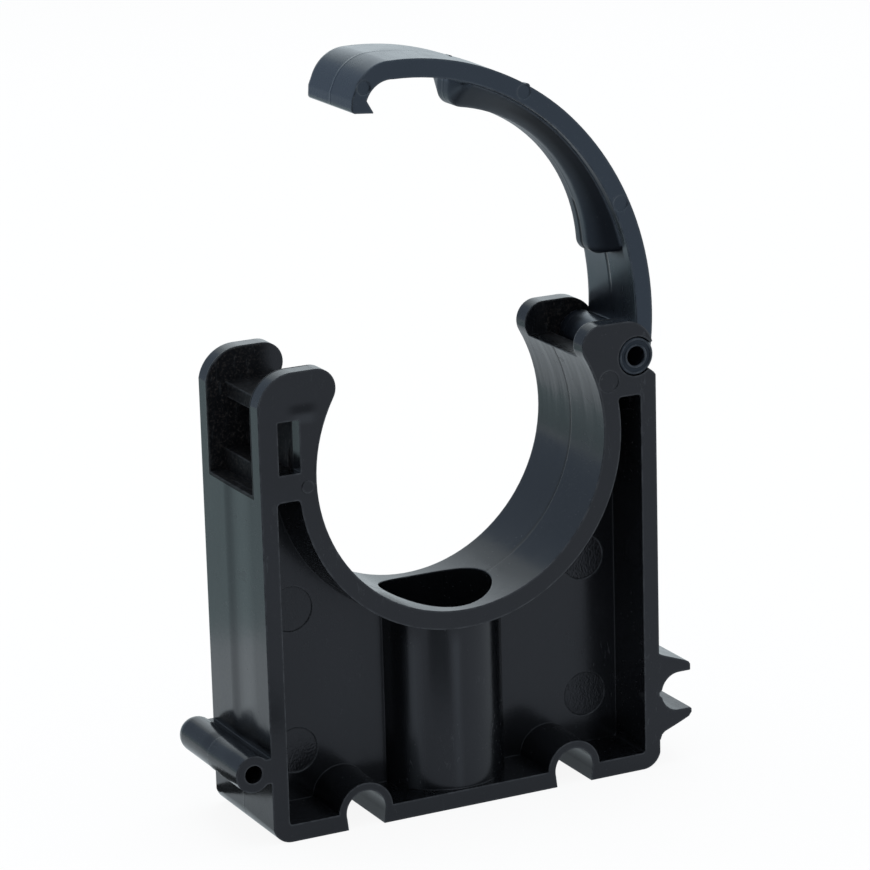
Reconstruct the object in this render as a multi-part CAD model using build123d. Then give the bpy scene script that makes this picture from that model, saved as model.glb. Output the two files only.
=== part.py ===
from build123d import *
import math
import os

os.makedirs("parts", exist_ok=True)

# Snap-strap pipe clip for a 50 mm pipe. Lengths are millimetres, Z is up, the base stands on Z = 0,
# X runs across the clip and Y along the pipe. The origin is the middle of the base.

# Pipe and overall body
pipe_radius = 25.0
axis_height = 57.6
side_room = 9.5
body_half_width = pipe_radius + side_room
body_depth = 22.0
side_lean = 0.12
base_corner = 3.2

# Walls of the body moulding
wall = 2.85
saddle_wall = 3.0
web_thickness = 2.8
base_thickness = 2.8
pocket_corner = 0.6
pocket_top_left = axis_height - 2.9
pocket_top_right = axis_height + 5.2

# Ears on both sides of the pipe seat
ear_rise = 17.28
nose_radius = 3.3
nose_angle = 29.6
ear_corner_left = 6.0
ear_corner_right = 5.0
slot_width = 16.1
left_slot_floor = axis_height - 1.95
ledge_floor = axis_height + 1.4
seat_top = axis_height + 12.0

# Catch ledge and the window that shapes its underside
ledge_inset = 3.3
ledge_left = -body_half_width + ledge_inset
ledge_rise = 9.7
ledge_underside = axis_height + ledge_rise
window_width = 3.6

# Fixing screw boss
boss_radius = 10.3
head_bore_radius = 9.05
screw_hole_radius = 4.25
screw_floor = 6.0

# Grooves under the base
groove_x = 18.5
groove_radius = 3.4
groove_height = 2.6
groove_mouth = 3.1
arch_wall = 1.25

# Side-by-side coupling
coupling_height = 12.25
pin_reach = 2.92
pin_x = -body_half_width - pin_reach
pin_radius = 2.96
pin_step = 0.07
pin_end_y = 10.3
pin_core_radius = 1.45
pin_core_depth = 9.0
pin_web = 4.0
socket_reach = 3.5
socket_x = body_half_width + socket_reach
socket_clearance = 0.24
socket_radius = pin_radius + socket_clearance

# Ejector marks on the web
mark_x = body_half_width - 8.7
mark_heights = (11.1, 34.3)
mark_radius = 3.65
mark_depth = 0.15

# Hinge
hinge_inset = 3.57
hinge_x = body_half_width - hinge_inset
hinge_rise = 11.45
hinge_z = axis_height + hinge_rise
trunnion_radius = 3.1
hinge_clearance = 0.1
seat_radius = trunnion_radius + hinge_clearance
barrel_radius = 3.7
heel_radius = 4.6
heel_gap = 0.2
trunnion_edge = 0.3
trunnion_core_radius = 1.55
trunnion_core_depth = 8.0
trunnion_core_chamfer = 0.15
trunnion_groove = (1.9, 2.6)
trunnion_groove_depth = 0.3

# Retaining strap, drawn closed round the pipe and then swung open
strap_side_gap = 0.3
strap_width = slot_width - 2 * strap_side_gap
band_thickness = 3.2
open_angle = 47.5
pad_clearance_hinge = 0.95
pad_clearance_latch = 1.35
pad_start = 47.3
pad_end = 133.4
pad_corner = 2.1
pad_crest_width = 3.6
pad_root_width = 12.4
near_arc = (-1.14, -14.9, pipe_radius + 21.05)
far_arc = (-1.45, -11.54, pipe_radius + 17.55)
join_angle = 100.0
start_angle = math.degrees(math.atan2(hinge_rise, hinge_x)) - 1.8
end_angle = 154.5
strap_draft = 0.15

front = -body_depth / 2
half_slot = slot_width / 2


def on_axis(x, z):
    """Point given from the pipe axis, returned from the base."""
    return (x, z + axis_height)


def at_hinge(x, z):
    """Point given from the hinge's axis, returned from the base."""
    return (hinge_x + x, hinge_z + z)


def at_ledge(x, z):
    """Point of the closed strap given from the catch ledge's lower edge, returned from the pipe axis."""
    return (ledge_left + x, ledge_rise + z)


def polar(radius, degrees):
    return (radius * math.cos(math.radians(degrees)), radius * math.sin(math.radians(degrees)))


def outline(points):
    return Plane.XZ * make_face(Polyline(*points, close=True))


def disc(x, z, radius):
    return Plane.XZ * Pos(x, z) * Circle(radius)


def block(x0, x1, y0, y1, z0, z1):
    return Pos((x0 + x1) / 2, (y0 + y1) / 2, (z0 + z1) / 2) * Box(x1 - x0, y1 - y0, z1 - z0)


def rod(x, z, radius, y0, y1):
    return Pos(x, (y0 + y1) / 2, z) * Rot(90, 0, 0) * Cylinder(radius, y1 - y0)


def through(face, depth=body_depth):
    return extrude(face, amount=depth / 2, both=True)


def body_outline():
    """Front view of the body before the pockets: base, sides, ears and pipe seat."""
    top = axis_height + ear_rise
    w = body_half_width
    nose_x, nose_z = polar(pipe_radius + nose_radius, nose_angle)
    plate = Plane.XZ * Pos(0, top / 2) * Rectangle(2 * w, top)
    corners = plate.vertices().group_by(Axis.Z)
    plate = fillet(corners[0], base_corner)
    plate = fillet(plate.vertices().group_by(Axis.Z)[-1].sort_by(Axis.X)[0], ear_corner_left)
    gap = outline([on_axis(0, 0), on_axis(-nose_x, nose_z), on_axis(-nose_x, 30),
                   on_axis(nose_x, 30), on_axis(nose_x, nose_z)])
    plate = plate - disc(0, axis_height, pipe_radius) - gap
    plate = plate + disc(-nose_x, nose_z + axis_height, nose_radius)
    plate = plate + disc(nose_x, nose_z + axis_height, nose_radius)
    arc_x, arc_z = w - 0.5 - ear_corner_right, ear_rise - ear_corner_right
    shoulder = hinge_inset - 0.45
    beyond = hinge_inset + 2
    right = outline([on_axis(arc_x, arc_z), at_hinge(1.07, -1.25), at_hinge(shoulder, -2.95),
                     at_hinge(shoulder + 0.3, -3.35), at_hinge(hinge_inset, -3.85), at_hinge(beyond, -3.85),
                     at_hinge(beyond, 20), (arc_x, hinge_z + 20)])
    mouth = outline([at_hinge(0, 0), at_hinge(4.48, 3.2), at_hinge(beyond, 3.2), at_hinge(beyond, -2.45),
                     at_hinge(2.47, -2.45)])
    plate = plate - right + disc(arc_x, arc_z + axis_height, ear_corner_right)
    return plate - mouth - disc(hinge_x, hinge_z, seat_radius)


def leaning_sides():
    """Tall prism whose left and right faces lean in from the mid-depth parting plane."""
    w, d = body_half_width, body_depth / 2
    points = [(-w + side_lean, -d - 1), (w - side_lean, -d - 1), (w, 0), (w - side_lean, d + 1),
              (-w + side_lean, d + 1), (-w, 0)]
    return extrude(make_face(Polyline(*points, close=True)), amount=90)


def pockets():
    """Open pockets in front of and behind the mid-depth web."""
    x = body_half_width - wall
    low = base_thickness
    face = outline([(-x, low), (x, low), (x, pocket_top_right), (0, pocket_top_right),
                    (0, pocket_top_left), (-x, pocket_top_left)])
    face = face - disc(0, axis_height, pipe_radius + saddle_wall)
    face = fillet(face.vertices(), pocket_corner)
    depth = (body_depth - web_thickness) / 2
    solid = extrude(face, amount=depth / 2 + 1, both=True)
    shift = web_thickness / 2 + depth / 2 + 1
    return Pos(0, -shift, 0) * solid + Pos(0, shift, 0) * solid


def left_slot():
    """Space between the left ears: above, outside and below the catch ledge."""
    y = half_slot
    far = -body_half_width - 2
    step = -body_half_width + wall
    above = block(far, -15, -y, y, seat_top, seat_top + 20)
    outside = block(far, ledge_left, -y, y, ledge_floor, seat_top + 1)
    notch = block(far, step, -y, y, left_slot_floor, ledge_floor + 1)
    below = block(ledge_left - 1, -20, -y, y, ledge_floor, ledge_underside)
    below = below - rod(0, axis_height, pipe_radius + saddle_wall, -y - 1, y + 1)
    return above + outside + notch + below


def ledge_window():
    """Core opening through the front ear, beneath the catch ledge."""
    return block(ledge_left, ledge_left + window_width, front - 1, -half_slot + 1, ledge_floor, ledge_underside)


def right_slot():
    """Space between the right ears for the strap's barrel and its swing."""
    y = half_slot
    above = block(15, body_half_width + 2, -y, y, seat_top, seat_top + 20)
    bed = rod(hinge_x, hinge_z, heel_radius + heel_gap, -y, y)
    beyond = hinge_inset + 2
    ramp = outline([at_hinge(0, 0), at_hinge(0.67, -4.7), at_hinge(hinge_inset, -6.45), at_hinge(beyond, -6.45),
                    at_hinge(beyond, 2.6), at_hinge(0, 2.6)])
    return above + bed + through(ramp, 2 * y)


def screw_boss():
    return Pos(0, 0, axis_height / 2) * Cylinder(boss_radius, axis_height)


def screw_bore():
    """Bore for the screw head from the pipe seat, and the screw's hole in the base."""
    head = Pos(0, 0, screw_floor + axis_height / 2) * Cylinder(head_bore_radius, axis_height)
    hole = Pos(0, 0, screw_floor / 2) * Cylinder(screw_hole_radius, screw_floor + 4)
    return head + hole


def groove(x):
    """Half-round groove under the base with a slightly narrower mouth."""
    r, m, h = groove_radius, groove_mouth, groove_height
    neck = outline([(x - r, h), (x + r, h), (x + m, 0), (x + m + 0.3, -0.5), (x - m - 0.3, -0.5), (x - m, 0)])
    return through(disc(x, h, r) + neck, body_depth + 2)


def groove_arch(x):
    arch = rod(x, groove_height, groove_radius + arch_wall, front, -front)
    return arch & block(x - 6, x + 6, front, -front, 0, 20)


def coupling_pin():
    """Pin on the left side, along the pipe direction, with its joining web and domed rear end."""
    z = coupling_height
    near = rod(pin_x, z, pin_radius, front, 0)
    rest = rod(pin_x, z, pin_radius - pin_step, 0, pin_end_y)
    dome = Pos(pin_x, pin_end_y, z) * Sphere(pin_radius - pin_step)
    joint = block(pin_x, -body_half_width + 1, front, -front, z - pin_web / 2, z + pin_web / 2)
    core = rod(pin_x, z, pin_core_radius, front - 1, front + pin_core_depth)
    return near + rest + dome + joint - core


def coupling_socket():
    """Open socket on the right side that takes the next clip's coupling pin."""
    c = coupling_height
    x, r = socket_x, socket_radius
    w = body_half_width
    root = w - 0.4
    upper = outline([(root, c + 7.3), (w, c + 6.85), (w + 0.8, c + 6.45), (x + 1.2, c + 5.0),
                     (x + 1.85, c + 4.65), (x + 2.12, c + 4.2), (x + 2.12, c + r + 0.1), (x + 2.0, c + r),
                     (x, c + r), (root, c)])
    lower = outline([(root, c), (x, c - r), (x + 2.1, c - r), (x + 2.3, c - r - 0.25), (x + 2.3, c - 4.0),
                     (x + 1.8, c - 4.65), (x + 0.1, c - 5.38), (w + 0.85, c - 6.45), (w + 0.3, c - 6.9),
                     (w, c - 7.7), (root, c - 8.0)])
    return through(upper + lower - disc(x, c, r))


def ejector_marks():
    """Round ejector-pin marks sunk a little into the web faces and one ear face."""
    marks = []
    y = web_thickness / 2
    for x in (-mark_x, mark_x):
        for z in mark_heights:
            marks.append(rod(x, z, mark_radius, -y, mark_depth - y))
            marks.append(rod(x, z, mark_radius, y - mark_depth, y))
    ear_x, ear_z = at_hinge(-4.93, -3.45)
    marks.append(rod(ear_x, ear_z, 1.75, front - 0.1, front + mark_depth))
    return marks


def clip_body():
    body = through(body_outline()) & leaning_sides()
    body = body - pockets()
    body = body + screw_boss()
    for x in (-groove_x, groove_x):
        body = body + groove_arch(x)
        body = body - groove(x)
    body = body - rod(0, axis_height, pipe_radius, front - 1, -front + 1)
    body = body - screw_bore()
    body = body - left_slot() - ledge_window() - right_slot()
    body = body + coupling_pin() + coupling_socket()
    for mark in ejector_marks():
        body = body - mark
    body = body + rod(-body_half_width + 8.0, axis_height - 0.95, 1.0, front - 0.12, front + 0.5)
    return body


def ray_to_arc(degrees, arc, inset=0.0):
    """Point where a ray from the pipe axis meets an arc of the strap, moved inward by inset."""
    cx, cz, r = arc
    r = r - inset
    ux, uz = polar(1.0, degrees)
    b = ux * cx + uz * cz
    s = b + math.sqrt(b * b - cx * cx - cz * cz + r * r)
    return (s * ux, s * uz)


def band_point(degrees, inset):
    arc = near_arc if degrees <= join_angle else far_arc
    return ray_to_arc(degrees, arc, inset)


def strap_profile(thinner):
    """Front view of the closed strap: band from the hinge, thumb end, latch hook and its barb.

    The band is thinner by this much on both faces, for the draft towards the strap's sides.
    """
    t = band_thickness - thinner
    low, end = start_angle, end_angle
    hook = [at_ledge(-3.75, 3.9), at_ledge(-3.5, 0.1), at_ledge(-2.65, -1.75), at_ledge(-1.65, -2.8),
            at_ledge(-1.15, -3.02), at_ledge(-0.65, -2.75), at_ledge(1.28, -0.98), at_ledge(1.4, -0.84),
            at_ledge(1.25, -0.7), at_ledge(-0.7, -0.25), at_ledge(-1.22, 1.8)]
    outer = [band_point(angle, thinner) for angle in (low, 62, join_angle, 128, end)]
    inner = [band_point(angle, t) for angle in (end, 128, join_angle, 62, low)]
    points = outer + hook + inner
    arcs = [(0, 1, 2), (2, 3, 4), (4, 5, 6), (8, 9, 10), (11, 12, 13), (14, 15, 16), (16, 17, 18), (18, 19, 20)]
    lines = [(6, 7), (7, 8), (10, 11), (13, 14), (20, 0)]
    edges = {a[0]: ThreePointArc(*(points[i] for i in a)) for a in arcs}
    edges.update({a[0]: Line(points[a[0]], points[a[1]]) for a in lines})
    face = Plane.XZ * make_face([edges[i] for i in sorted(edges)])
    x, z = hinge_x, hinge_rise
    beyond = outline([(x, z - 8), (x + 8, z - 8), (x + 8, z + 2.3), (x, z + 2.3)]) - disc(x, z, heel_radius)
    return face - beyond


def pad_radius(degrees):
    """Radius of the pad's crest from the pipe axis, growing a little towards the latch."""
    share = (degrees - pad_start) / (pad_end - pad_start)
    return pipe_radius + pad_clearance_hinge + share * (pad_clearance_latch - pad_clearance_hinge)


def pad_section(y, rise, trim):
    """Front-view section of the pressure pad at one depth; rise 1 is the crest and 0 is the band."""
    low, high = pad_start + trim, pad_end - trim
    corner = max(0.15, pad_corner * rise)
    buried = band_thickness - 1.2

    def inner(degrees):
        x, z = band_point(degrees, band_thickness)
        base = math.hypot(x, z) - 0.05
        return base + rise * (pad_radius(degrees) - base)

    run = math.degrees(corner / pipe_radius)
    middle = (low + high) / 2
    a_side = polar(inner(low) + corner, low)
    a_bend = polar(inner(low) + 0.3 * corner, low + 0.3 * run)
    a_flat = polar(inner(low + run), low + run)
    b_flat = polar(inner(high - run), high - run)
    b_bend = polar(inner(high) + 0.3 * corner, high - 0.3 * run)
    b_side = polar(inner(high) + corner, high)
    out_low, out_mid, out_high = (band_point(angle, buried) for angle in (low, middle, high))
    face = make_face([Line(out_low, a_side), ThreePointArc(a_side, a_bend, a_flat),
                      ThreePointArc(a_flat, polar(inner(middle), middle), b_flat),
                      ThreePointArc(b_flat, b_bend, b_side), Line(b_side, out_high),
                      ThreePointArc(out_high, out_mid, out_low)])
    return Pos(0, y, 0) * (Plane.XZ * face)


def pressure_pad():
    """Boat-shaped pad inside the band, crowned to a narrow crest that bears on the pipe."""
    steps = [(pad_root_width / 2, 0.0, 3.6), (5.6, 0.14, 2.4), (4.7, 0.34, 1.4), (pad_crest_width / 2, 1.0, 0.0)]
    before = [pad_section(-y, rise, trim) for y, rise, trim in steps]
    after = [pad_section(y, rise, trim) for y, rise, trim in reversed(steps)]
    return loft(before + after, ruled=True)


def moulding_marks():
    """Shallow ejector rings, the dimple on the hook and the gate stubs of the closed strap."""
    side = -strap_width / 2
    ring_a, ring_b, dimple = band_point(114.4, 1.3), band_point(64.75, 1.65), at_ledge(-2.5, 0.85)
    sunk = [(ring_a, 1.15, 0.1), (ring_b, 1.25, 0.1), (dimple, 1.1, 0.2)]
    cuts = [rod(x, z, r, side - 1, side + deep + 0.1) for (x, z), r, deep in sunk]
    stubs = [(band_point(113.65, 0.35), side + 0.4, side + 1.6), (band_point(132.1, 0.45), -0.6, 0.6)]
    adds = [rod(x, z, 0.55, y0, y1) for (x, z), y0, y1 in stubs]
    return cuts, adds


def hinge_barrel():
    """Cross barrel and the two trunnions that snap into the ears, cored from both ends, with a ring sunk in each."""
    x, z = hinge_x, hinge_rise
    barrel = rod(x, z, barrel_radius, -strap_width / 2, strap_width / 2)
    pin = rod(x, z, trunnion_radius, front, -front)
    pin = chamfer(pin.edges().filter_by(GeomType.CIRCLE), trunnion_edge)
    lip = trunnion_core_chamfer
    core = rod(x, z, trunnion_core_radius, front - 1, front + trunnion_core_depth)
    mouth = Pos(x, front + lip / 2, z) * Rot(90, 0, 0) * Cone(trunnion_core_radius, trunnion_core_radius + lip, lip)
    ring_floor = front + trunnion_groove_depth
    inner, outer = (rod(x, z, radius, front - 1, ring_floor) for radius in trunnion_groove)
    near = core + mouth + (outer - inner)
    return barrel + pin, near + mirror(near, Plane.XZ)


def retaining_strap():
    barrel, cores = hinge_barrel()
    half = loft([strap_profile(0), Pos(0, -strap_width / 2, 0) * strap_profile(strap_draft)], ruled=True)
    other = mirror(half, Plane.XZ)
    strap = half + other + barrel + pressure_pad() - cores
    cuts, adds = moulding_marks()
    for cut in cuts:
        strap = strap - cut
    for add in adds:
        strap = strap + add
    strap = Pos(0, 0, axis_height) * strap
    return strap.rotate(Axis((hinge_x, 0, hinge_z), (0, 1, 0)), open_angle)


body = clip_body()
strap = retaining_strap()
for name, shape in (("clip_body", body), ("retaining_strap", strap)):
    solids = shape.solids()
    print(name, "solids", len(solids), "volume", round(sum(s.volume for s in solids), 1), shape.bounding_box())
    export_step(solids[0] if len(solids) == 1 else shape, f"parts/{name}.step")
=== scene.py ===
from functools import partial, reduce
from math import radians

import bpy
from mathutils import Euler, Matrix, Vector

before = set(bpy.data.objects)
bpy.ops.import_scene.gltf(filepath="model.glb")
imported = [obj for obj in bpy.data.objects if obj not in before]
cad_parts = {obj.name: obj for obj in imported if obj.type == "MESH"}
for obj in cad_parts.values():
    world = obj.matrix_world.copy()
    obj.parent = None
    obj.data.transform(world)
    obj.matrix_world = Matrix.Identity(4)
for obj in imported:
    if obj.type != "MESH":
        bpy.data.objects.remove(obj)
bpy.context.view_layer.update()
scene = bpy.context.scene

# Camera at the photograph's place, in metres, with its turn about X, Y and Z in degrees.
CAMERA_PLACE = (-0.271162, -0.547157, 0.228655)
CAMERA_TURN = (74.3993, 1.5324, -26.8515)
LENS = 167.30
SENSOR_WIDTH = 36.0

# Places that the materials use, in metres: axes along Y by their X and Z, the web's ejector marks, the middle
# and half width of each painted highlight band on the boss, and the painted highlight and painted shade on
# the ear.
PIPE_AXIS = (0.0, 0.0576)
HINGE = (0.03093, 0.06905)
PAD_CENTRE = (0.00159, 0.08412)
MARK_X = 0.0258
MARK_HEIGHTS = (0.0111, 0.0343)
BOSS_HIGHLIGHT_BANDS = ((-0.0076, 0.0016), (-0.0016, 0.0013))
EAR_LIGHT_X = -0.0270
EAR_HIGHLIGHT_Z = 0.0674
EAR_SHADE_Z = 0.0690

# Fades of the body's masks, in metres: the place or distance at which each begins and at which it ends.
SEAT_RADIUS = (0.0252, 0.0254)
MIDDLE_X = (-0.001, 0.001)
SIDE_FACE_X = (0.0331, 0.0335)
RIGHT_FACE_X = (0.0333, 0.0335)
FRONT_FACE_Y = (-0.0109, -0.0105)
SLOT_HALF_WIDTH = (0.0083, 0.0085)
SLOT_WALL_Y = (0.0074, 0.0079)
SLOT_FLOOR_Z = (0.0550, 0.0552)
RIGHT_SLOT_Z = (0.0636, 0.0640)
EAR_X = (0.0225, 0.0260)
WEB_HALF_THICKNESS = (0.0022, 0.0024)
MARK_RADIUS = (0.0035, 0.0036)
SINK_FRONT_Y = (-0.0070, -0.0005)
SINK_BACK_Y = (-0.0005, 0.0031)
SINK_FOOT_Z = (0.012, 0.017)
SINK_TOP_Z = (0.048, 0.060)
BODY_SEAM_Y = (0.00005, 0.00020)
SIDE_SEAM_TOP_Z = (0.010, 0.012)
SEAT_LINE_Y = (0.00010, 0.00030)
SEAT_LINE_Z = (0.045, 0.070)
RIPPLE_Z = (0.048, 0.066)
# Fades of the painted highlights on the boss.
BOSS_HIGHLIGHT_FRONT_Y = (-0.0108, -0.0106)
BOSS_HIGHLIGHT_BACK_Y = (-0.0030, -0.0022)
BOSS_HIGHLIGHT_FOOT_Z = (0.0028, 0.0030)
BOSS_HIGHLIGHT_TOP_Z = (0.026, 0.030)
# Fades of the painted highlight and painted shade above the ear's window.
EAR_LIGHT_REACH_X = (0.0008, 0.0032)
EAR_LIGHT_REACH_Z = (0.0002, 0.0012)

# Fades of the strap's masks, written in the same way.
PAD_RADIUS = (0.0299, 0.0305)
PAD_HALF_WIDTH = (0.0058, 0.0062)
PAD_ROOT_Y = (0.0016, 0.0046)
PAD_ROOT_Z = (0.107, 0.114)
BAND_RADIUS = (0.0326, 0.0328)
BAND_FOOT_Z = (0.0925, 0.0935)
STRAP_SEAM_Y = (0.00005, 0.00040)
GROOVE_Y = (0.00015, 0.00055)
GROOVE_FOOT_Z = (0.074, 0.084)
TRUNNION_RADIUS = (0.0034, 0.0038)
TRUNNION_END_Y = (0.0085, 0.0090)

# The two plastics: colour, roughness, gloss, and the tint of what the gloss shows.
BODY_COLOR, BODY_ROUGHNESS = (0.0040, 0.0045, 0.0055), 0.20
BODY_GLOSS, BODY_TINT = 0.325, (0.90, 0.90, 1.0, 1.0)
STRAP_COLOR, STRAP_ROUGHNESS = (0.0046, 0.0056, 0.0080), 0.28
STRAP_GLOSS, STRAP_TINT = 0.63, (0.66, 0.79, 1.0, 1.0)

# Rounding of the edges and reach of their lighter line, partly flash and partly painted highlight, in metres.
BODY_EDGE_RADIUS = 0.0003
STRAP_EDGE_RADIUS = 0.0006
PAD_EXTRA_RADIUS = 0.0006
EDGE_FLASH_AND_HIGHLIGHT_REACH = 0.00035

# One millimetre in metres, and the heights of what the bump shows in millimetres.
MM = 0.001
GRAIN_HEIGHT = 0.0022
ORANGE_PEEL_HEIGHT = 0.008
WAVE_HEIGHT = 0.032
SCUFF_DEPTH = 0.008
SEAM_HEIGHT = 0.035
MARK_WEAVE_HEIGHT = 0.085
SLOT_WALL_HEIGHT = 0.080
SINK_DEPTH = 0.230
RIPPLE_HEIGHT = 0.110

# Shares: how deep the two sunk lines are in seam heights, and how strong a mark is where it is weaker.
SEAT_LINE_DEPTH = (1.2, 2.2)
GROOVE_DEPTH = 2.6
LEFT_MARK_SHARE = 0.55
SLOT_FLOOR_SHARE = 0.35
# Share of the painted highlight above the ear's window.
EAR_HIGHLIGHT_SHARE = 0.80

# What each mark or place adds to the roughness.
STREAK_ROUGHNESS = 0.10
SCUFF_ROUGHNESS = 0.20
SLOT_ROUGHNESS = 0.30
MARK_ROUGHNESS = 0.06
PAD_ROUGHNESS = 0.16

# What each place takes from the gloss.
SLOT_DULLING = 0.26
SEAT_LINE_DULLING = 0.20
# Gloss taken for the painted shade above the ear's window.
EAR_SHADE_DULLING = 0.16
# The gloss taken at the pad's root and in the foot groove is painted shade.
PAD_ROOT_PAINTED_SHADE = 0.52
GROOVE_PAINTED_SHADE = 0.55
TRUNNION_DULLING = 0.30

# Colours of the marks, and how much of each shows.
# The pale colour here is a painted highlight, on the boss and above the ear's window.
PAINTED_HIGHLIGHT_COLOR, PAINTED_HIGHLIGHT_SHARE = (0.040, 0.045, 0.050, 1.0), 0.35
GRIT_COLOR, GRIT_SHARE = (0.026, 0.023, 0.022, 1.0), 0.90
# The pale edge colour is partly flash and partly painted highlight.
EDGE_FLASH_AND_HIGHLIGHT_COLOR, EDGE_FLASH_AND_HIGHLIGHT_SHARE = (0.085, 0.092, 0.100, 1.0), 0.50
SCUFF_COLOR, SCUFF_SHARE = (0.090, 0.098, 0.105, 1.0), 0.16
DUST_COLOR, DUST_SHARE = (0.20, 0.20, 0.20, 1.0), 0.09

# Studio: floor, world and lamps, then the tints of what the gloss shows: the white room, the bluer card
# at the back left and the greener card on the left.
FLOOR_COLOR = (0.90, 0.91, 0.92, 1.0)
FLOOR_REACH = 3.0
FLOOR_GLOW = 0.91
FLOOR_IN_GLOSS = 0.70
ROOM_COLOR, ROOM_STRENGTH = (0.90, 0.95, 1.0, 1.0), 0.85
WHITE = (1.0, 1.0, 1.0, 1.0)
LAMP_COLOR = (0.90, 0.96, 1.0)
LAMP_TARGET = (0.0, 0.0, 0.06)
STUDIO_TINT = (0.84, 0.95, 1.0)
BACK_TINT = (0.645, 0.81, 1.0)
LEFT_TINT = (0.74, 0.96, 1.0)

# Grey cards round the clip, as in a photographer's studio, in metres; the near black card behind the clip is
# a painted shadow. A standing card has its two ends in plan, then its lowest and highest edge. A lying card
# has its lift off the floor, then its corners in plan.
STANDING_CARDS = (
    ("card_back_left", 0.68, BACK_TINT, (-0.06, 0.66), (-0.73, 0.27), 0.0, 0.55),
    ("card_left_front", 0.10, STUDIO_TINT, (-0.30, 0.02), (-0.14, -0.29), 0.002, 0.30),
)
LYING_CARDS = (
    ("card_left", 0.69, LEFT_TINT, 0.001,
     ((-0.13, 0.06), (-0.03, 0.10), (-0.06, 0.42), (-0.32, 0.30))),
    ("card_front", 0.42, STUDIO_TINT, 0.001,
     ((-0.045, -0.05), (-0.005, -0.06), (-0.05, -0.30), (-0.20, -0.26))),
    # Near black card on the floor behind the clip, seen only in reflections: a painted shadow of the clip
    # there.
    ("card_painted_shadow", 0.06, STUDIO_TINT, 0.002,
     ((-0.16, -0.045), (-0.060, -0.012), (-0.033, 0.011), (0.008, 0.013), (0.010, 0.075),
      (-0.031, 0.075), (-0.033, 0.013), (-0.060, 0.018), (-0.080, 0.030), (-0.15, 0.010))),
)


def shaded(color, factor=1.0):
    """The colour made darker or lighter, with full alpha."""
    return tuple(channel * factor for channel in color) + (1.0,)


class Nodes:
    """Short way to build a node tree."""

    def __init__(self, tree):
        self.tree = tree
        tree.nodes.clear()

    def add(self, kind, sockets=(), **settings):
        """New node with its settings. Each socket gets a value or a link."""
        node = self.tree.nodes.new(kind)
        for key, value in settings.items():
            setattr(node, key, value)
        for key, value in dict(sockets).items():
            if isinstance(value, bpy.types.NodeSocket):
                self.tree.links.new(value, node.inputs[key])
            else:
                node.inputs[key].default_value = value
        return node

    def math(self, operation, *values):
        return self.add("ShaderNodeMath", dict(enumerate(values)), operation=operation).outputs[0]

    def total(self, *values):
        return reduce(partial(self.math, "ADD"), values)

    def product(self, *values):
        return reduce(partial(self.math, "MULTIPLY"), values)

    def largest(self, *values):
        return reduce(partial(self.math, "MAXIMUM"), values)

    def minus(self, value, part):
        return self.math("SUBTRACT", value, part)

    def size(self, value):
        return self.math("ABSOLUTE", value)

    def length(self, across, up):
        return self.math("SQRT", self.total(self.product(across, across), self.product(up, up)))

    def fade(self, value, start, end, first, last):
        """Smooth change from first to last while the value goes from start to end."""
        sockets = {"Value": value, "From Min": start, "From Max": end, "To Min": first, "To Max": last}
        return self.add("ShaderNodeMapRange", sockets, interpolation_type="SMOOTHSTEP").outputs[0]

    def rise(self, value, start, end):
        return self.fade(value, start, end, 0.0, 1.0)

    def fall(self, value, start, end):
        return self.fade(value, start, end, 1.0, 0.0)

    def mapping(self, vector, place=(0, 0, 0), turn=(0, 0, 0), scale=(1, 1, 1)):
        sockets = {"Vector": vector, "Location": place, "Rotation": turn, "Scale": scale}
        return self.add("ShaderNodeMapping", sockets).outputs[0]

    def blend(self, share, under, over):
        sockets = {0: share, 6: under, 7: over}
        return self.add("ShaderNodeMix", sockets, data_type="RGBA").outputs[2]


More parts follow.
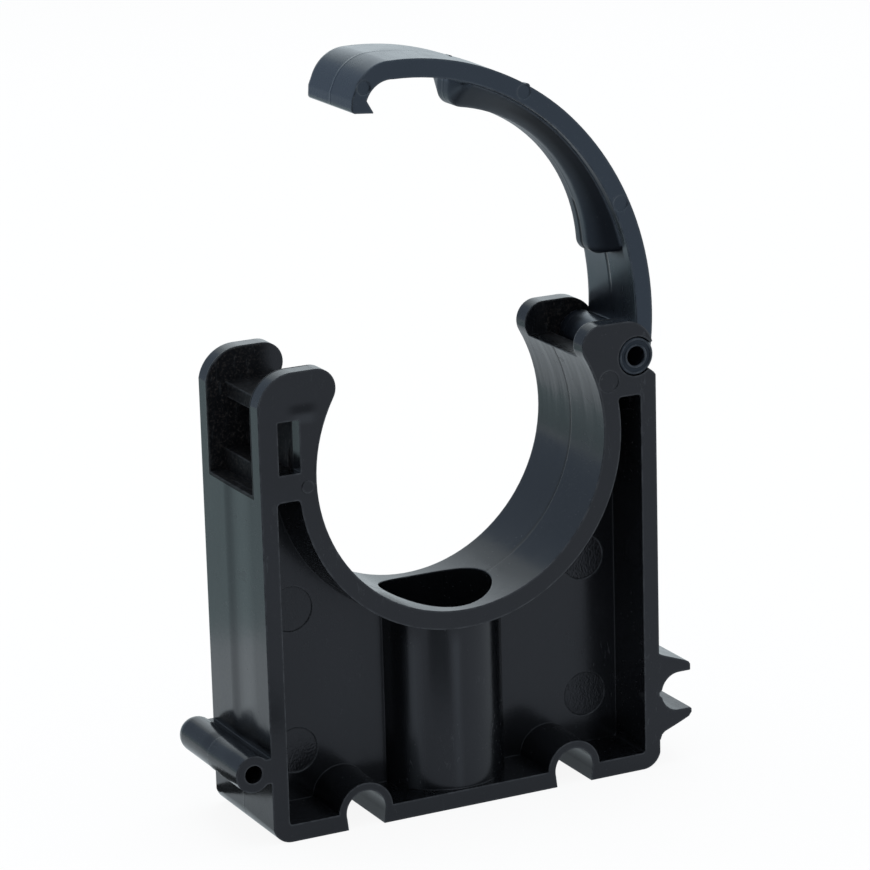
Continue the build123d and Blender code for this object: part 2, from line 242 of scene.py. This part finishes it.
class Plastic(Nodes):
    """Black moulded plastic: its coordinates, flow clouds, waves, streaks, scuffs and dust."""

    def __init__(self, name, seed):
        self.material = bpy.data.materials.new(name)
        self.material.use_nodes = True
        super().__init__(self.material.node_tree)
        coordinates = self.add("ShaderNodeTexCoord").outputs["Object"]
        self.place = self.mapping(coordinates, place=(seed, seed * 0.7, -seed * 0.4))
        self.x, self.y, self.z = self.add("ShaderNodeSeparateXYZ", {0: coordinates}).outputs
        self.side = self.size(self.x)
        self.depth = self.size(self.y)
        self.clouds = self.noise(38.0, detail=3.0, roughness=0.6)
        self.waves = self.noise(85.0)
        self.streaks = self.noise(420.0, scale=(1.0, 1.0, 0.05))
        scratches = self.noise(1500.0, detail=3.0, roughness=0.7, distortion=0.6, scale=(1.0, 0.12, 0.3))
        self.scuff = self.product(self.rise(scratches, 0.60, 0.70), self.rise(self.clouds, 0.48, 0.64))
        specks = self.noise(2600.0, detail=1.0)
        self.dust = self.product(self.rise(specks, 0.725, 0.755), self.rise(self.waves, 0.42, 0.60))

    def noise(self, cells, detail=2.0, roughness=0.5, distortion=0.0, **turned):
        """Noise with so many cells to the metre, turned and stretched if asked."""
        vector = self.mapping(self.place, **turned) if turned else self.place
        sockets = {"Vector": vector, "Scale": cells, "Detail": detail, "Roughness": roughness,
                   "Distortion": distortion}
        return self.add("ShaderNodeTexNoise", sockets).outputs["Fac"]

    def distance(self, centre):
        """Distance from an axis that runs along Y."""
        return self.length(self.minus(self.x, centre[0]), self.minus(self.z, centre[1]))

    def left_half(self):
        """One on the left half of the clip."""
        return self.fall(self.x, *MIDDLE_X)

    def height(self, seam):
        """Grain, orange peel, flow waves, scuffs and the parting line, in millimetres."""
        grain = self.minus(self.noise(5200.0, roughness=0.6), 0.5)
        orange_peel = self.noise(900.0, roughness=0.55)
        return self.total(self.product(grain, GRAIN_HEIGHT), self.product(orange_peel, ORANGE_PEEL_HEIGHT),
                          self.product(self.waves, WAVE_HEIGHT), self.product(self.scuff, -SCUFF_DEPTH),
                          self.product(seam, SEAM_HEIGHT))

    def roughness(self, finish):
        """Cloudy and streaky satin finish, rougher in scuffs and dust."""
        return self.total(self.fade(self.clouds, 0.25, 0.75, finish - 0.04, finish + 0.06),
                          self.product(self.minus(self.streaks, 0.5), STREAK_ROUGHNESS),
                          self.product(self.largest(self.scuff, self.dust), SCUFF_ROUGHNESS))

    def cloudy(self, color):
        """The colour, darker and lighter in clouds."""
        return self.blend(self.rise(self.clouds, 0.3, 0.7), shaded(color, 0.80), shaded(color, 1.25))

    def edge_lit_and_marked(self, color, scuff):
        """The colour with lighter convex edges, partly pale flash and partly painted highlight, and with
        scuffs and dust.
        """
        inside = self.add("ShaderNodeAmbientOcclusion", {"Distance": EDGE_FLASH_AND_HIGHLIGHT_REACH},
                          samples=4, inside=True, only_local=True)
        # Lighter convex edges: partly flash, partly painted highlight.
        edges = self.fall(inside.outputs["AO"], 0.45, 0.95)
        uneven = self.fade(self.noise(500.0, detail=3.0, roughness=0.7), 0.36, 0.62, 0.15, 1.0)
        color = self.blend(self.product(edges, uneven, EDGE_FLASH_AND_HIGHLIGHT_SHARE), color, EDGE_FLASH_AND_HIGHLIGHT_COLOR)
        color = self.blend(self.product(scuff, SCUFF_SHARE), color, SCUFF_COLOR)
        return self.blend(self.product(self.dust, DUST_SHARE), color, DUST_COLOR)

    def edge(self, radius, samples):
        """Normal of a surface with rounded edges."""
        return self.add("ShaderNodeBevel", {"Radius": radius}, samples=samples).outputs[0]

    def finish(self, color, roughness, gloss, tint, height, edge):
        """Shader of the plastic, with the height on top of the rounded edges."""
        sockets = {"Strength": 1.0, "Distance": MM, "Height": height, "Normal": edge}
        bump = self.add("ShaderNodeBump", sockets)
        sockets = {"Base Color": color, "Roughness": roughness, "Normal": bump.outputs[0],
                   "Specular IOR Level": gloss, "Specular Tint": tint}
        shader = self.add("ShaderNodeBsdfPrincipled", sockets)
        self.add("ShaderNodeOutputMaterial", {"Surface": shader.outputs[0]})
        return self.material


def seat_mask(n):
    """One on the round seat of the pipe."""
    return n.fall(n.distance(PIPE_AXIS), *SEAT_RADIUS)


def ejector_marks(n):
    """One on the web's round ejector marks, and about half on the left."""
    up = n.math("MINIMUM", *(n.size(n.minus(n.z, height)) for height in MARK_HEIGHTS))
    reach = n.length(n.minus(n.side, MARK_X), up)
    return n.product(n.fall(reach, *MARK_RADIUS), n.fall(n.depth, *WEB_HALF_THICKNESS),
                     n.fade(n.x, *MIDDLE_X, LEFT_MARK_SHARE, 1.0))


def slot_mask(n):
    """One on the rough walls and floors of the slots between the ears."""
    slot = n.product(n.fall(n.depth, *SLOT_HALF_WIDTH), n.rise(n.z, *SLOT_FLOOR_Z), n.rise(n.side, *EAR_X))
    above_pocket = n.largest(n.left_half(), n.rise(n.z, *RIGHT_SLOT_Z))
    return n.product(slot, above_pocket, n.fall(n.x, *RIGHT_FACE_X), n.minus(1.0, seat_mask(n)))


def root_sink(n):
    """One in the sink up the side walls along the web's root, which ends lower on the right."""
    across = n.product(n.rise(n.y, *SINK_FRONT_Y), n.fall(n.y, *SINK_BACK_Y))
    top = n.largest(n.fall(n.z, *SINK_TOP_Z), n.left_half())
    return n.product(across, n.rise(n.side, *SIDE_FACE_X), n.rise(n.z, *SINK_FOOT_Z), top)


def boss_painted_highlights(n):
    """Two painted highlights: pale bands down the front of the screw boss."""
    streaks = (n.product(n.rise(n.x, middle - half, middle), n.fall(n.x, middle, middle + half))
               for middle, half in BOSS_HIGHLIGHT_BANDS)
    front = n.product(n.rise(n.y, *BOSS_HIGHLIGHT_FRONT_Y), n.fall(n.y, *BOSS_HIGHLIGHT_BACK_Y))
    return n.product(n.largest(*streaks), front, n.rise(n.z, *BOSS_HIGHLIGHT_FOOT_Z), n.fall(n.z, *BOSS_HIGHLIGHT_TOP_Z))


def ear_painted_light(n, height):
    """Patch above the window of the front left ear, at one height, for its painted highlight and painted
    shade.
    """
    across = n.size(n.minus(n.x, EAR_LIGHT_X))
    up = n.size(n.minus(n.z, height))
    return n.product(n.fall(across, *EAR_LIGHT_REACH_X), n.fall(up, *EAR_LIGHT_REACH_Z), n.fall(n.y, *FRONT_FACE_Y))


def body_seam(n, seat_line):
    """Raised parting line, left out on the upper side faces and sunk along the pipe seat."""
    inboard = n.fall(n.side, *SIDE_FACE_X)
    raised = n.product(n.fall(n.depth, *BODY_SEAM_Y), n.largest(inboard, n.fall(n.z, *SIDE_SEAM_TOP_Z)))
    return n.minus(raised, n.product(seat_line, n.fade(n.z, *SEAT_LINE_Z, *SEAT_LINE_DEPTH)))


def body_height(n, seat_line, marks, slots):
    """Adds the woven marks, the rough slots, the sink and the ripples across the pipe seat."""
    weave = n.noise(3400.0, detail=1.0, distortion=0.4, turn=(0.0, 0.6, 0.0), scale=(1.0, 1.0, 0.75))
    rough_wall = n.product(n.noise(1700.0, detail=4.0, roughness=0.75, scale=(0.5, 1.0, 1.0)),
                           n.fade(n.depth, *SLOT_WALL_Y, SLOT_FLOOR_SHARE, 1.0))
    ripple = n.product(n.noise(330.0, scale=(0.15, 1.0, 0.15)), seat_mask(n), n.rise(n.z, *RIPPLE_Z))
    return n.total(n.height(body_seam(n, seat_line)), n.product(marks, weave, MARK_WEAVE_HEIGHT),
                   n.product(slots, rough_wall, SLOT_WALL_HEIGHT), n.product(root_sink(n), -SINK_DEPTH),
                   n.product(ripple, RIPPLE_HEIGHT))


def body_color(n, slots):
    """Adds the painted highlights on the boss and above the ear's window, the brownish grit of the slots and
    their drag marks.
    """
    # Painted highlights on the boss and above the front left ear's window.
    pale = n.largest(boss_painted_highlights(n), n.product(ear_painted_light(n, EAR_HIGHLIGHT_Z), EAR_HIGHLIGHT_SHARE))
    pale = n.product(pale, n.rise(n.streaks, 0.2, 0.7), PAINTED_HIGHLIGHT_SHARE)
    grit = n.rise(n.noise(2600.0, detail=3.0, roughness=0.75), 0.48, 0.68)
    drags = n.noise(1100.0, detail=3.0, roughness=0.75, distortion=0.8, scale=(1.0, 1.0, 0.22))
    color = n.blend(pale, n.cloudy(BODY_COLOR), PAINTED_HIGHLIGHT_COLOR)
    color = n.blend(n.product(slots, grit, GRIT_SHARE), color, GRIT_COLOR)
    return n.edge_lit_and_marked(color, n.largest(n.scuff, n.product(slots, n.rise(drags, 0.54, 0.72))))


def body_plastic():
    """Near black plastic with a neutral sheen."""
    n = Plastic("black_plastic", seed=0.13)
    marks = ejector_marks(n)
    slots = slot_mask(n)
    seat_line = n.product(seat_mask(n), n.fall(n.depth, *SEAT_LINE_Y))
    # The gloss taken above the ear's window is painted shade.
    dull = n.largest(n.product(slots, SLOT_DULLING), n.product(seat_line, SEAT_LINE_DULLING),
                     n.product(ear_painted_light(n, EAR_SHADE_Z), EAR_SHADE_DULLING))
    roughness = n.total(n.roughness(BODY_ROUGHNESS), n.product(slots, SLOT_ROUGHNESS),
                        n.product(marks, MARK_ROUGHNESS))
    return n.finish(color=body_color(n, slots), roughness=roughness,
                    gloss=n.minus(BODY_GLOSS, dull), tint=BODY_TINT,
                    height=body_height(n, seat_line, marks, slots),
                    edge=n.edge(BODY_EDGE_RADIUS, samples=5))


def pad_mask(n):
    """One on the pressure pad, whose flanks blend softly into its crest and its ends."""
    return n.product(n.fall(n.distance(PAD_CENTRE), *PAD_RADIUS), n.fall(n.depth, *PAD_HALF_WIDTH))


def foot_groove(n):
    """One in the groove down the middle of the band's inner face, from the pad to the hinge."""
    return n.product(n.fall(n.depth, *GROOVE_Y), n.fall(n.z, *BAND_FOOT_Z), n.rise(n.z, *GROOVE_FOOT_Z),
                     n.fall(n.distance(PAD_CENTRE), *BAND_RADIUS))


def trunnion_mask(n):
    """One on the two end faces of the trunnions, which are duller than the band."""
    return n.product(n.fall(n.distance(HINGE), *TRUNNION_RADIUS), n.rise(n.depth, *TRUNNION_END_Y))


def strap_plastic():
    """Plastic with a bluer and softer sheen. Pad and trunnion ends are duller; the lower gloss at the pad's
    root and in the foot groove is painted shade.
    """
    n = Plastic("black_plastic_strap", seed=0.47)
    pad = pad_mask(n)
    groove = foot_groove(n)
    pad_root = n.product(pad, n.rise(n.depth, *PAD_ROOT_Y), n.fall(n.z, *PAD_ROOT_Z))
    # Less gloss at the pad's root and in the foot groove: painted shade.
    dull = n.largest(n.product(groove, GROOVE_PAINTED_SHADE), n.product(trunnion_mask(n), TRUNNION_DULLING),
                     n.product(pad_root, PAD_ROOT_PAINTED_SHADE))
    raised = n.product(n.fall(n.depth, *STRAP_SEAM_Y), n.rise(n.z, *BAND_FOOT_Z))
    radius = n.total(n.product(pad, PAD_EXTRA_RADIUS), STRAP_EDGE_RADIUS)
    seam = n.minus(raised, n.product(groove, GROOVE_DEPTH))
    return n.finish(color=n.edge_lit_and_marked(n.cloudy(STRAP_COLOR), n.scuff),
                    roughness=n.total(n.roughness(STRAP_ROUGHNESS), n.product(pad, PAD_ROUGHNESS)),
                    gloss=n.minus(STRAP_GLOSS, dull), tint=STRAP_TINT,
                    height=n.height(seam), edge=n.edge(radius, samples=8))


def background(n, in_gloss):
    """Share and colour of the white background: full for the camera, cool in what glossy rays show."""
    path = n.add("ShaderNodeLightPath").outputs
    mirrored = n.product(n.largest(path["Is Glossy Ray"], path["Is Transmission Ray"]), in_gloss)
    share = n.largest(path["Is Camera Ray"], mirrored)
    return share, n.blend(path["Is Camera Ray"], shaded(STUDIO_TINT), WHITE)


def floor_material():
    """Pale floor that the camera sees as white, with the clip's soft shadow kept."""
    material = bpy.data.materials.new("pale_floor")
    material.use_nodes = True
    n = Nodes(material.node_tree)
    seen, white = background(n, FLOOR_IN_GLOSS)
    lit = n.add("ShaderNodeBsdfDiffuse", {"Color": FLOOR_COLOR})
    glow = n.add("ShaderNodeEmission", {"Color": white, "Strength": 1.0})
    share = n.product(seen, FLOOR_GLOW)
    mix = n.add("ShaderNodeMixShader", {0: share, 1: lit.outputs[0], 2: glow.outputs[0]})
    n.add("ShaderNodeOutputMaterial", {"Surface": mix.outputs[0]})
    return material


def card_material(name, shade, tint):
    material = bpy.data.materials.new(name)
    material.use_nodes = True
    n = Nodes(material.node_tree)
    glow = n.add("ShaderNodeEmission", {"Color": shaded(tint, shade), "Strength": 1.0})
    n.add("ShaderNodeOutputMaterial", {"Surface": glow.outputs[0]})
    return material


def add_world():
    """Soft light from all round, behind the white background."""
    world = bpy.data.worlds.new("studio")
    scene.world = world
    world.use_nodes = True
    n = Nodes(world.node_tree)
    seen, white = background(n, 1.0)
    studio = n.add("ShaderNodeBackground", {"Color": white, "Strength": 1.0})
    room = n.add("ShaderNodeBackground", {"Color": ROOM_COLOR, "Strength": ROOM_STRENGTH})
    mix = n.add("ShaderNodeMixShader", {0: seen, 1: room.outputs[0], 2: studio.outputs[0]})
    n.add("ShaderNodeOutputWorld", {"Surface": mix.outputs[0]})


def add_object(name, data):
    piece = bpy.data.objects.new(name, data)
    scene.collection.objects.link(piece)
    return piece


def add_polygon(name, corners, material):
    mesh = bpy.data.meshes.new(name)
    mesh.from_pydata(corners, [], [range(len(corners))])
    mesh.materials.append(material)
    return add_object(name, mesh)


def add_floor():
    far = FLOOR_REACH
    corners = [(-far, -far, 0), (far, -far, 0), (far, far, 0), (-far, far, 0)]
    floor = add_polygon("floor", corners, floor_material())


def add_card(name, shade, tint, corners):
    """Card that only the plastic's gloss shows: it lights nothing and the camera doesn't see it."""
    card = add_polygon(name, corners, card_material(name, shade, tint))
    for kind in ("camera", "diffuse", "transmission", "shadow"):
        setattr(card, "visible_" + kind, False)


def add_cards():
    for name, shade, tint, start, end, low, high in STANDING_CARDS:
        add_card(name, shade, tint, [(*start, low), (*end, low), (*end, high), (*start, high)])
    for name, shade, tint, lift, plan in LYING_CARDS:
        add_card(name, shade, tint, [(*corner, lift) for corner in plan])


def add_lamp(name, place, size, power):
    data = bpy.data.lights.new(name, "AREA")
    data.shape = "RECTANGLE"
    data.size, data.size_y = size
    data.energy = power
    data.color = LAMP_COLOR
    lamp = add_object(name, data)
    lamp.location = place
    lamp.rotation_mode = "QUATERNION"
    lamp.rotation_quaternion = (Vector(LAMP_TARGET) - Vector(place)).to_track_quat("-Z", "Y")
    lamp.visible_camera = False


def add_camera():
    data = bpy.data.cameras.new("camera")
    data.lens = LENS
    data.sensor_width = SENSOR_WIDTH
    data.clip_start, data.clip_end = 0.01, 20.0
    camera = add_object("camera", data)
    turn = Euler([radians(angle) for angle in CAMERA_TURN])
    camera.matrix_world = Matrix.LocRotScale(Vector(CAMERA_PLACE), turn, None)
    scene.camera = camera


for node, material in (("clip_body", body_plastic()), ("retaining_strap", strap_plastic())):
    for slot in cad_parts[node].material_slots:
        slot.material = material

add_world()
add_floor()
add_lamp("top_softbox", place=(0.02, 0.10, 0.75), size=(0.60, 0.60), power=2.0)
add_lamp("back_softbox", place=(0.32, 0.62, 0.30), size=(0.55, 0.30), power=0.28)
add_cards()
add_camera()

scene.view_settings.view_transform = "Standard"
